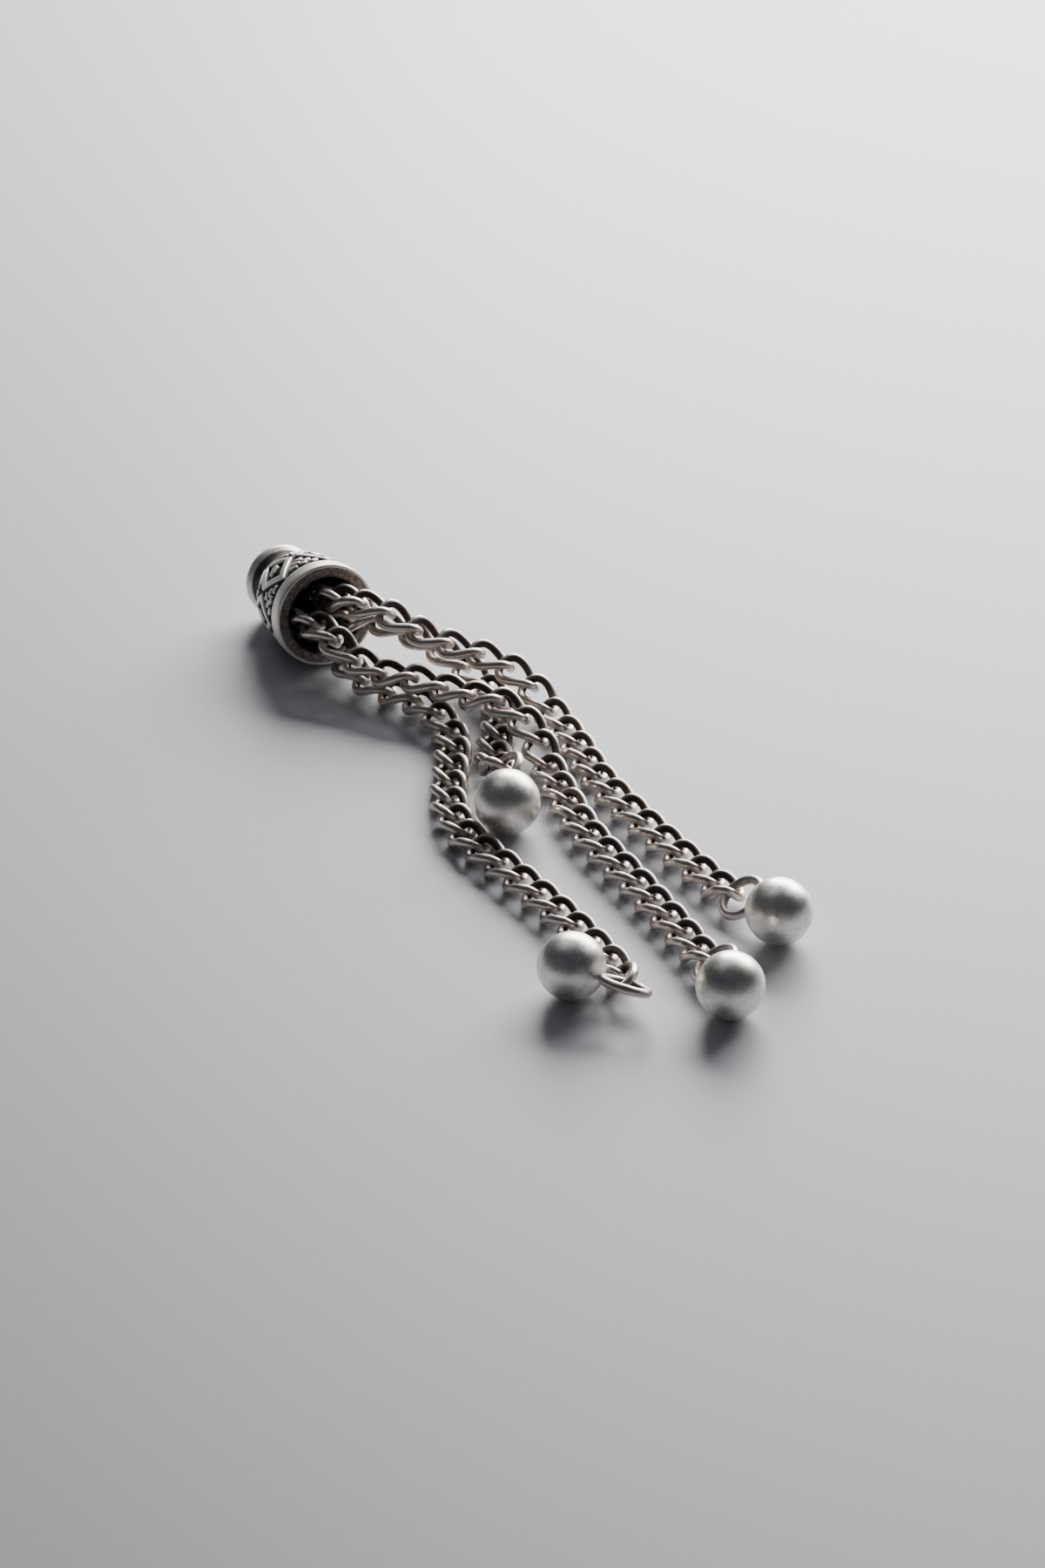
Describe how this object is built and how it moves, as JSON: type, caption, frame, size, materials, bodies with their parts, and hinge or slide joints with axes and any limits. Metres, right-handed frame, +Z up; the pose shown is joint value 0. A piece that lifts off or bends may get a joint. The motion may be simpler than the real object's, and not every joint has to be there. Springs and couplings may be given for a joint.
{
  "type": "chain tassel",
  "caption": "Silver tassel: a bell-shaped cap with a diamond relief, from whose mouth curb chains with ball ends hang.",
  "frame": {"origin": "on the surface the tassel lies on, under the middle of its bounding box", "axes": "+X from the cap towards the balls, +Z up from the surface, +Y to the left when looking along +X"},
  "size_m": [0.072, 0.0224, 0.0084],
  "materials": {
    "cap_silver": "cast silver, dark in the recesses and rubbed bright on the raised work",
    "chain_silver": "polished round silver wire, slightly warm",
    "ball_silver": "satin silver with soft reflections"
  },
  "bodies": {
    "cap": {"cap": "cap_silver", "cross_bar": "cap_silver"},
    "left_gather_ring": {"left_gather_ring": "cap_silver"},
    "right_gather_ring": {"right_gather_ring": "cap_silver"},
    "left_chain_01": {"left_chain_01": "chain_silver"},
    "left_chain_02": {"left_chain_02": "chain_silver"},
    "left_chain_03": {"left_chain_03": "chain_silver"},
    "left_chain_04": {"left_chain_04": "chain_silver"},
    "left_chain_05": {"left_chain_05": "chain_silver"},
    "left_chain_06": {"left_chain_06": "chain_silver"},
    "left_chain_07": {"left_chain_07": "chain_silver"},
    "left_chain_08": {"left_chain_08": "chain_silver"},
    "left_chain_09": {"left_chain_09": "chain_silver"},
    "left_chain_10": {"left_chain_10": "chain_silver"},
    "left_chain_11": {"left_chain_11": "chain_silver"},
    "left_chain_12": {"left_chain_12": "chain_silver"},
    "left_ball": {"left_ball_ring": "ball_silver", "left_ball": "ball_silver"},
    "middle_chain_01": {"middle_chain_01": "chain_silver"},
    "middle_chain_02": {"middle_chain_02": "chain_silver"},
    "middle_chain_03": {"middle_chain_03": "chain_silver"},
    "middle_chain_04": {"middle_chain_04": "chain_silver"},
    "middle_chain_05": {"middle_chain_05": "chain_silver"},
    "middle_chain_06": {"middle_chain_06": "chain_silver"},
    "middle_chain_07": {"middle_chain_07": "chain_silver"},
    "middle_chain_08": {"middle_chain_08": "chain_silver"},
    "middle_chain_09": {"middle_chain_09": "chain_silver"},
    "middle_chain_10": {"middle_chain_10": "chain_silver"},
    "middle_chain_11": {"middle_chain_11": "chain_silver"},
    "middle_chain_12": {"middle_chain_12": "chain_silver"},
    "middle_ball": {"middle_ball_ring": "ball_silver", "middle_ball": "ball_silver"},
    "right_chain_01": {"right_chain_01": "chain_silver"},
    "right_chain_02": {"right_chain_02": "chain_silver"},
    "right_chain_03": {"right_chain_03": "chain_silver"},
    "right_chain_04": {"right_chain_04": "chain_silver"},
    "right_chain_05": {"right_chain_05": "chain_silver"},
    "right_chain_06": {"right_chain_06": "chain_silver"},
    "right_chain_07": {"right_chain_07": "chain_silver"},
    "right_chain_08": {"right_chain_08": "chain_silver"},
    "right_chain_09": {"right_chain_09": "chain_silver"},
    "right_chain_10": {"right_chain_10": "chain_silver"},
    "right_chain_11": {"right_chain_11": "chain_silver"},
    "right_ball": {"right_ball_ring": "ball_silver", "right_ball": "ball_silver"},
    "short_chain_01": {"short_chain_01": "chain_silver"},
    "short_chain_02": {"short_chain_02": "chain_silver"},
    "short_chain_03": {"short_chain_03": "chain_silver"},
    "short_chain_04": {"short_chain_04": "chain_silver"},
    "short_chain_05": {"short_chain_05": "chain_silver"},
    "short_chain_06": {"short_chain_06": "chain_silver"},
    "short_chain_07": {"short_chain_07": "chain_silver"},
    "short_ball": {"short_ball_ring": "ball_silver", "short_ball": "ball_silver"}
  },
  "joints": [
    {"name": "left_gather_ring_swing", "type": "hinge", "parent": "cap", "child": "left_gather_ring", "pos_m": [-0.03202, -0.00148, 0.00354], "axis": [0.0872, 0.9962, 0], "range_deg": [-0.1, 0.1]},
    {"name": "right_gather_ring_swing", "type": "hinge", "parent": "cap", "child": "right_gather_ring", "pos_m": [-0.03176, 0.00151, 0.00354], "axis": [-0.0872, -0.9962, 0], "range_deg": [-0.1, 0.1]},
    {"name": "left_chain_01_bend", "type": "hinge", "parent": "left_gather_ring", "child": "left_chain_01", "pos_m": [-0.0303, -0.0018, 0.003], "axis": [0.4037, -0.9149, 0], "range_deg": [-0.25, 0.4]},
    {"name": "left_chain_02_bend", "type": "hinge", "parent": "left_chain_01", "child": "left_chain_02", "pos_m": [-0.02554, -0.00045, 0.00215], "axis": [0.1045, 0.0051, 0.9945], "range_deg": [-1.5, 0.25]},
    {"name": "left_chain_03_bend", "type": "hinge", "parent": "left_chain_02", "child": "left_chain_03", "pos_m": [-0.02053, -0.00028, 0.00108], "axis": [-0.1348, -0.0323, -0.9904], "range_deg": [-0.25, 10]},
    {"name": "left_chain_04_bend", "type": "hinge", "parent": "left_chain_03", "child": "left_chain_04", "pos_m": [-0.01575, 0.00155, 0.00112], "axis": [-0.0394, -0.0108, 0.9992], "range_deg": [-10, 0.25]},
    {"name": "left_chain_05_bend", "type": "hinge", "parent": "left_chain_04", "child": "left_chain_05", "pos_m": [-0.01066, 0.00171, 0.00089], "axis": [-0.041, 0.0089, -0.9991], "range_deg": [-0.5, 10]},
    {"name": "left_chain_06_bend", "type": "hinge", "parent": "left_chain_05", "child": "left_chain_06", "pos_m": [-0.00608, -0.00054, 0.0009], "axis": [0, 0, 1], "range_deg": [-10, 0.75]},
    {"name": "left_chain_07_bend", "type": "hinge", "parent": "left_chain_06", "child": "left_chain_07", "pos_m": [-0.00176, -0.00332, 0.0009], "axis": [0, 0, -1], "range_deg": [-1, 10]},
    {"name": "left_chain_08_bend", "type": "hinge", "parent": "left_chain_07", "child": "left_chain_08", "pos_m": [0.0031, -0.00494, 0.0009], "axis": [0.1185, 0.993, 0], "range_deg": [-20, 0]},
    {"name": "left_chain_09_bend", "type": "hinge", "parent": "left_chain_08", "child": "left_chain_09", "pos_m": [0.00823, -0.0048, 0.0009], "axis": [0, 0, 1], "range_deg": [-20, 10]},
    {"name": "left_chain_10_bend", "type": "hinge", "parent": "left_chain_09", "child": "left_chain_10", "pos_m": [0.01337, -0.00457, 0.0009], "axis": [0.0364, -0.9993, 0], "range_deg": [0, 20]},
    {"name": "left_chain_11_bend", "type": "hinge", "parent": "left_chain_10", "child": "left_chain_11", "pos_m": [0.01851, -0.00453, 0.0009], "axis": [0, 0, -1], "range_deg": [-18, 20]},
    {"name": "left_chain_12_bend", "type": "hinge", "parent": "left_chain_11", "child": "left_chain_12", "pos_m": [0.02364, -0.00471, 0.0009], "axis": [0.0732, 0.9973, 0], "range_deg": [-20, 0]},
    {"name": "left_ball_swing", "type": "hinge", "parent": "left_chain_12", "child": "left_ball", "pos_m": [0.02847, -0.00594, 0.00168], "axis": [-0.7044, 0.7098, 0], "range_deg": [0, 20]},
    {"name": "middle_chain_01_bend", "type": "hinge", "parent": "left_gather_ring", "child": "middle_chain_01", "pos_m": [-0.0303, -0.0016, 0.00415], "axis": [0.0233, -0.0023, 0.9997], "range_deg": [-0.3, 0.1]},
    {"name": "middle_chain_02_bend", "type": "hinge", "parent": "middle_chain_01", "child": "middle_chain_02", "pos_m": [-0.02521, -0.00215, 0.00437], "axis": [0.0035, -1, 0], "range_deg": [0, 0.41]},
    {"name": "middle_chain_03_bend", "type": "hinge", "parent": "middle_chain_02", "child": "middle_chain_03", "pos_m": [-0.02039, -0.00114, 0.00318], "axis": [-0.2484, -0.0945, -0.964], "range_deg": [-0.14, 0.82]},
    {"name": "middle_chain_04_bend", "type": "hinge", "parent": "middle_chain_03", "child": "middle_chain_04", "pos_m": [-0.01598, 0.00138, 0.003], "axis": [-0.571, 0.821, 0], "range_deg": [-2.72, 0]},
    {"name": "middle_chain_05_bend", "type": "hinge", "parent": "middle_chain_04", "child": "middle_chain_05", "pos_m": [-0.01157, 0.00399, 0.00285], "axis": [-0.0667, -0.035, 0.9972], "range_deg": [-1.09, 0.2]},
    {"name": "middle_chain_06_bend", "type": "hinge", "parent": "middle_chain_05", "child": "middle_chain_06", "pos_m": [-0.00695, 0.00599, 0.00262], "axis": [0.1741, -0.9847, 0], "range_deg": [0, 2.72]},
    {"name": "middle_chain_07_bend", "type": "hinge", "parent": "middle_chain_06", "child": "middle_chain_07", "pos_m": [-0.00216, 0.00537, 0.00104], "axis": [-0.1775, 0.0491, -0.9829], "range_deg": [-1.36, 1.36]},
    {"name": "middle_chain_08_bend", "type": "hinge", "parent": "middle_chain_07", "child": "middle_chain_08", "pos_m": [0.00282, 0.00412, 0.0009], "axis": [0.2396, 0.9709, 0], "range_deg": [-5.45, 0]},
    {"name": "middle_chain_09_bend", "type": "hinge", "parent": "middle_chain_08", "child": "middle_chain_09", "pos_m": [0.00784, 0.00302, 0.0009], "axis": [-0.0012, 0.0002, 1], "range_deg": [-6, 8]},
    {"name": "middle_chain_10_bend", "type": "hinge", "parent": "middle_chain_09", "child": "middle_chain_10", "pos_m": [0.01296, 0.00266, 0.0009], "axis": [-0.055, -0.9985, 0], "range_deg": [0, 20]},
    {"name": "middle_chain_11_bend", "type": "hinge", "parent": "middle_chain_10", "child": "middle_chain_11", "pos_m": [0.01809, 0.0023, 0.0009], "axis": [0, 0, -1], "range_deg": [-15, 10]},
    {"name": "middle_chain_12_bend", "type": "hinge", "parent": "middle_chain_11", "child": "middle_chain_12", "pos_m": [0.02321, 0.00183, 0.0009], "axis": [0.1154, 0.9933, 0], "range_deg": [-20, 0]},
    {"name": "middle_ball_swing", "type": "hinge", "parent": "middle_chain_12", "child": "middle_ball", "pos_m": [0.02827, 0.00118, 0.00133], "axis": [-0.2014, 0.0543, 0.978], "range_deg": [-10, 15]},
    {"name": "right_chain_01_bend", "type": "hinge", "parent": "right_gather_ring", "child": "right_chain_01", "pos_m": [-0.0302, 0.0014, 0.00435], "axis": [-0.399, 0.1348, 0.907], "range_deg": [0, 0.3]},
    {"name": "right_chain_02_bend", "type": "hinge", "parent": "right_chain_01", "child": "right_chain_02", "pos_m": [-0.02552, 0.00009, 0.00588], "axis": [0.0175, -0.9998, 0], "range_deg": [0, 1.5]},
    {"name": "right_chain_03_bend", "type": "hinge", "parent": "right_chain_02", "child": "right_chain_03", "pos_m": [-0.02085, 0.00201, 0.00622], "axis": [-0.1833, -0.1268, -0.9749], "range_deg": [-8, 0.5]},
    {"name": "right_chain_04_bend", "type": "hinge", "parent": "right_chain_03", "child": "right_chain_04", "pos_m": [-0.01758, 0.00538, 0.00419], "axis": [-0.7707, 0.6372, 0], "range_deg": [-10, 0]},
    {"name": "right_chain_05_bend", "type": "hinge", "parent": "right_chain_04", "child": "right_chain_05", "pos_m": [-0.01397, 0.00878, 0.00292], "axis": [0.2542, 0.1414, 0.9568], "range_deg": [-0.5, 10]},
    {"name": "right_chain_06_bend", "type": "hinge", "parent": "right_chain_05", "child": "right_chain_06", "pos_m": [-0.00931, 0.00976, 0.00114], "axis": [-0.0351, -0.9994, 0], "range_deg": [0, 10]},
    {"name": "right_chain_07_bend", "type": "hinge", "parent": "right_chain_06", "child": "right_chain_07", "pos_m": [-0.00423, 0.00905, 0.0009], "axis": [-0.0012, 0.0002, -1], "range_deg": [-10, 2.5]},
    {"name": "right_chain_08_bend", "type": "hinge", "parent": "right_chain_07", "child": "right_chain_08", "pos_m": [0.00078, 0.00792, 0.0009], "axis": [0.1672, 0.9859, 0], "range_deg": [-20, 0]},
    {"name": "right_chain_09_bend", "type": "hinge", "parent": "right_chain_08", "child": "right_chain_09", "pos_m": [0.0059, 0.00751, 0.0009], "axis": [0, 0, 1], "range_deg": [-8, 20]},
    {"name": "right_chain_10_bend", "type": "hinge", "parent": "right_chain_09", "child": "right_chain_10", "pos_m": [0.01104, 0.00737, 0.0009], "axis": [-0.0091, -1, 0], "range_deg": [0, 20]},
    {"name": "right_chain_11_bend", "type": "hinge", "parent": "right_chain_10", "child": "right_chain_11", "pos_m": [0.01618, 0.0074, 0.0009], "axis": [-0.0006, 0, -1], "range_deg": [-20, 15]},
    {"name": "right_ball_swing", "type": "hinge", "parent": "right_chain_11", "child": "right_ball", "pos_m": [0.02129, 0.0075, 0.0013], "axis": [-0.2124, -0.0224, 0.9769], "range_deg": [-18, 12]},
    {"name": "short_chain_01_bend", "type": "hinge", "parent": "right_gather_ring", "child": "short_chain_01", "pos_m": [-0.0301, 0.0015, 0.0033], "axis": [-0.1709, 0.0327, 0.9848], "range_deg": [-0.07, 0]},
    {"name": "short_chain_02_bend", "type": "hinge", "parent": "short_chain_01", "child": "short_chain_02", "pos_m": [-0.02507, 0.00105, 0.00407], "axis": [0.2705, -0.9627, 0], "range_deg": [-0.2, 0.14]},
    {"name": "short_chain_03_bend", "type": "hinge", "parent": "short_chain_02", "child": "short_chain_03", "pos_m": [-0.02105, 0.00405, 0.00387], "axis": [-0.242, -0.2622, -0.9342], "range_deg": [-0.41, 0.07]},
    {"name": "short_chain_04_bend", "type": "hinge", "parent": "short_chain_03", "child": "short_chain_04", "pos_m": [-0.01762, 0.00702, 0.00165], "axis": [0.3007, 0.1099, 0.9474], "range_deg": [-0.07, 0.54]},
    {"name": "short_chain_05_bend", "type": "hinge", "parent": "short_chain_04", "child": "short_chain_05", "pos_m": [-0.01262, 0.00715, 0.00087], "axis": [-0.0242, 0.0065, -0.9997], "range_deg": [-1.09, 0.14]},
    {"name": "short_chain_06_bend", "type": "hinge", "parent": "short_chain_05", "child": "short_chain_06", "pos_m": [-0.00816, 0.00467, 0.0009], "axis": [0.5992, 0.8006, 0], "range_deg": [-2.72, 0]},
    {"name": "short_chain_07_bend", "type": "hinge", "parent": "short_chain_06", "child": "short_chain_07", "pos_m": [-0.00389, 0.00188, 0.00121], "axis": [-0.2571, 0.1063, 0.9605], "range_deg": [-0.27, 2.18]},
    {"name": "short_ball_swing", "type": "hinge", "parent": "short_chain_07", "child": "short_ball", "pos_m": [-0.00166, 0.00124, 0.00231], "axis": [0.0306, -0.0143, -0.9994], "range_deg": [-3.27, 0.41]}
  ]
}
